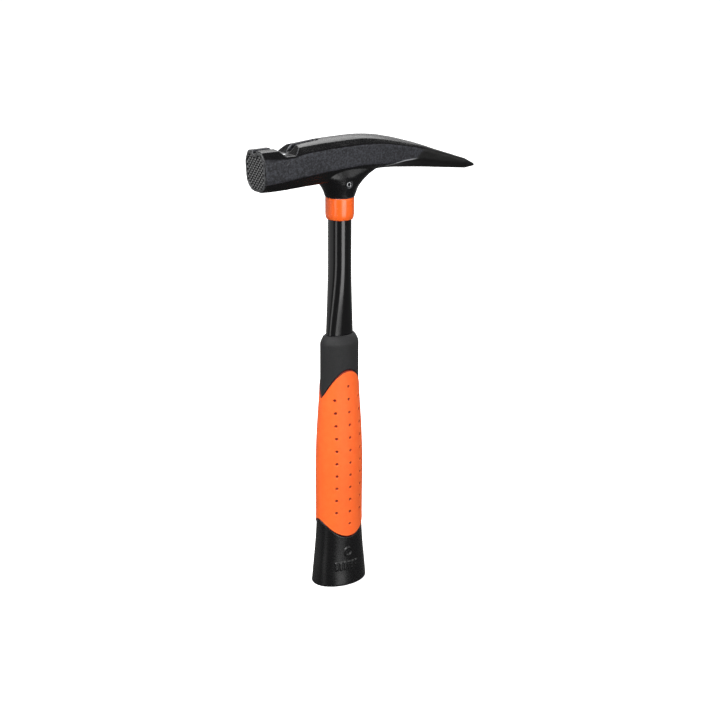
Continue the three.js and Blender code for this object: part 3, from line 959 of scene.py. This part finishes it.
def mark_share(place):
    """How fully a point lies on the butt's raised marks, a ring over a row of bars, 0 to 1."""
    from_ring = abs(math.hypot(place.x - RING_MARK["x"], place.z - RING_MARK["z"]) - RING_MARK["r"])
    best = smoothstep((RING_MARK["half"] + 0.25 - from_ring) / 0.5)
    low, high = BARS["z"]
    over = max(low - place.z, place.z - high, 0.0)
    for x in BARS["x"]:
        reach = math.hypot(max(abs(place.x - x) - BARS["half"], 0.0), over)
        best = max(best, smoothstep((0.5 - reach) / 0.5))
    return best


def flared_butt():
    """The hard core of the grip: the butt shows, the sleeve above it is under the soft layers."""
    def outline(angle):
        shoulder = inlay_end(INLAY_BOTTOM, angle) - SEAM / 2
        points = [(0, 0, 0), (8, 6, 0), (16, 11.4, 0)]
        for i in range(9):
            turn = math.pi / 2 * i / 8
            points.append(grip_section(BUTT_RIM * (1 - math.cos(turn)), BUTT_RIM * (1 - math.sin(turn))))
        for share in eased(44)[1:]:
            z = lerp(BUTT_RIM, shoulder, share)
            points.append(grip_section(z, rounded_in(shoulder - z, BLACK_EDGE)))
        points += [grip_section(z, SOFT_SKIN) for z in steps(shoulder, CORE_TOP_Z, 12)]
        for z in (CORE_TOP_Z, TUBE_Z[0]):
            tube_x, tube_y = tube_section(z)
            points.append((tube_x + 0.2, tube_y + 0.2, z))
        return points + [(0, 0, BUTT_FLOOR)]

    butt = sweep_round("flared_butt", outline, GRIP_COLUMNS, False)

    def outside_flat(place, normal):
        return abs(normal.y) > 0.5 and normal.y * place.y > 0 and abs(place.y) > 8

    def near_marks(place, normal):
        return outside_flat(place, normal) and 11 < place.z < 31 and -13 < place.x < 8

    def raise_marks(place, normal):
        return normal * MARK_RISE * mark_share(place) if outside_flat(place, normal) else Vector()

    refine(butt, near_marks, 3)
    move_vertices(butt, raise_marks)
    return butt


# ------------------------------------------------------------------ stage

def area_light(name, place, target, size, power):
    """Softbox of a size in metres, aimed at a point in metres."""
    data = bpy.data.lights.new(name, "AREA")
    data.shape = "RECTANGLE"
    data.size, data.size_y = size
    data.energy = power
    light = bpy.data.objects.new(name, data)
    bpy.context.scene.collection.objects.link(light)
    light.location = place
    light.rotation_euler = (Vector(target) - Vector(place)).to_track_quat("-Z", "Y").to_euler()
    return light


def photo_camera():
    data = bpy.data.cameras.new("photo_camera")
    data.lens = CAMERA_LENS
    data.sensor_width = 36
    data.clip_start = 0.01
    data.clip_end = 60
    camera = bpy.data.objects.new("photo_camera", data)
    bpy.context.scene.collection.objects.link(camera)
    forward = Vector((math.sin(CAMERA_YAW) * math.cos(CAMERA_PITCH),
                      math.cos(CAMERA_YAW) * math.cos(CAMERA_PITCH), -math.sin(CAMERA_PITCH)))
    level_right = Vector((math.cos(CAMERA_YAW), -math.sin(CAMERA_YAW), 0))
    level_up = level_right.cross(forward)
    right = level_right * math.cos(CAMERA_ROLL) + level_up * math.sin(CAMERA_ROLL)
    up = right.cross(forward)
    turn = Matrix((right, up, -forward)).transposed()
    camera.matrix_world = Matrix.Translation(CAMERA_PLACE) @ turn.to_4x4()
    bpy.context.scene.camera = camera


def around_camera(turn_degrees, distance, height):
    """A place round the hammer, turned to the right of the camera's direction."""
    angle = CAMERA_YAW - math.radians(turn_degrees)
    return (-math.sin(angle) * distance, -math.cos(angle) * distance, height)


def plain_white(name, glow, tint):
    """White surface that is lit and also glows a little, so it stays pale under soft light."""
    m = Nodes(name, Roughness=0.9, Specular_IOR_Level=0.1, Emission_Strength=glow)
    m.shader.inputs["Base Color"].default_value = (tint, tint, tint, 1)
    m.shader.inputs["Emission Color"].default_value = (1, 1, 1, 1)
    return m.material


def stage_piece(name, points, faces, material):
    """Floor or backdrop: seen by the camera, but it lights nothing."""
    mesh = bpy.data.meshes.new(name)
    mesh.from_pydata(points, [], faces)
    obj = bpy.data.objects.new(name, mesh)
    bpy.context.scene.collection.objects.link(obj)
    obj.data.materials.append(material)
    obj.visible_glossy = False
    obj.visible_diffuse = False
    obj.visible_shadow = False
    return obj


def studio():
    world = bpy.data.worlds.new("studio")
    world.use_nodes = True
    world.node_tree.nodes["Background"].inputs["Color"].default_value = (1, 1, 1, 1)
    world.node_tree.nodes["Background"].inputs["Strength"].default_value = WORLD_GLOW
    bpy.context.scene.world = world
    bpy.context.scene.view_settings.view_transform = "Standard"

    middle = (0, 0, 0.18)
    for name, turn, distance, height, size, power in LIGHTS:
        light = area_light(name, around_camera(turn, distance, height), middle, size, power)
        light.visible_camera = False

    floor_z = CAD_BOX[0].z - 0.0002
    rim = [(FLOOR_R * math.cos(a), FLOOR_R * math.sin(a)) for a in steps(0, 2 * math.pi, 64)[:-1]]
    count = len(rim)
    stage_piece("floor", [(x, y, floor_z) for x, y in rim], [tuple(range(count))],
                plain_white("floor", FLOOR_GLOW, 0.9))
    wall_points = [(x, y, floor_z) for x, y in rim] + [(x, y, WALL_HEIGHT) for x, y in rim]
    wall_faces = [(i, (i + 1) % count, (i + 1) % count + count, i + count) for i in range(count)]
    stage_piece("backdrop", wall_points, wall_faces, plain_white("backdrop", BACKDROP_GLOW, 0.9))


# ------------------------------------------------------------------ assembly

def place_piece(obj, material, slot, *nodes):
    """Finish a fine piece: its material and the CAD node it stands for. The slot argument is not used.
    """
    obj.data.materials.clear()
    obj.data.materials.append(material)
    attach(obj, "root")
    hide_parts(*nodes)


photo_camera()
studio()

place_piece(forged_head(), head_lacquer(), "head_lacquer", "hammer_head")
place_piece(magnet_disc(), bright_steel("magnet_steel", (196, 198, 200), (226, 227, 228)),
            "bright_steel", "nail_magnet")
place_piece(spring_pin(), bright_steel("pin_steel", (150, 152, 154), (190, 191, 192)),
            "bright_steel", "cross_pin")
place_piece(collar(), collar_plastic(), "collar_plastic", "collar_ring")
place_piece(steel_tube(), tube_enamel(), "tube_enamel", "handle_tube")
place_piece(flared_butt(), hard_plastic(), "grip_hard", "grip_core")
place_piece(orange_zone(), orange_rubber(), "grip_orange", "grip_inlay")
place_piece(black_top(), black_rubber(), "grip_black", "grip_cover")

inner = inner_plastic()
for node in ("socket_liner", "tube_plug"):
    inner_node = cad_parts[node]
    inner_node.data.materials.clear()
    inner_node.data.materials.append(inner)
